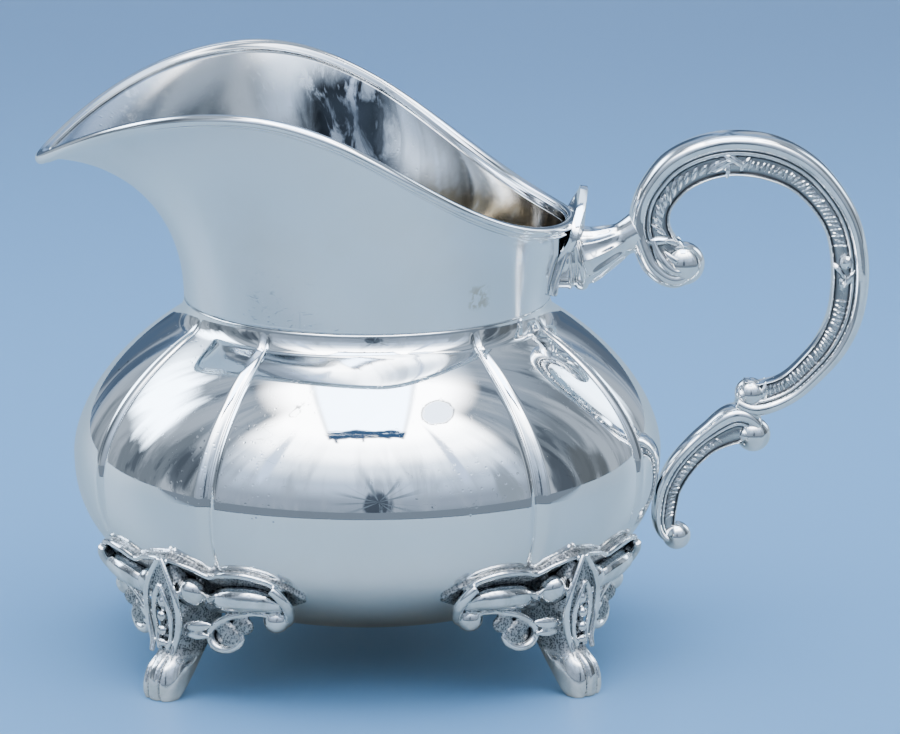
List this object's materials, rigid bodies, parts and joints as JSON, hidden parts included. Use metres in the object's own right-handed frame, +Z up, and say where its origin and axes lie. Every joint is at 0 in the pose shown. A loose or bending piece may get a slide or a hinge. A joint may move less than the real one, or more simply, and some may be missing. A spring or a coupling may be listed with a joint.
{
  "type": "silver creamer",
  "caption": "Low lobed silver creamer with a wide pulled spout, a scrolled side handle on a fluted socket, and cast scroll feet with leaf fronts.",
  "frame": {"origin": "middle of the creamer's outline on the surface that its feet stand on", "axes": "+X from the spout towards the handle, +Y away from the viewer of the picture, +Z up"},
  "size_m": [0.1328, 0.094, 0.0924],
  "materials": {
    "sheet_silver": "polished sheet silver with fine wiping scratches, faint pitting and a warm tarnish inside the mouth",
    "drawn_silver": "bright drawn silver wire and plate",
    "cast_silver": "polished cast silver, darkened in its chased hollows",
    "oxidised_silver": "cast silver with polished scrolls over stippled, blackened recesses"
  },
  "bodies": {
    "root": {"bowl": "sheet_silver", "neck": "sheet_silver", "rim_wire": "drawn_silver", "socket_plate": "drawn_silver", "socket_bell": "cast_silver", "upper_scroll": "cast_silver", "lower_scroll": "cast_silver", "foot_front_left": "oxidised_silver", "foot_front_right": "oxidised_silver", "foot_back_left": "oxidised_silver", "foot_back_right": "oxidised_silver"}
  },
  "joints": []
}
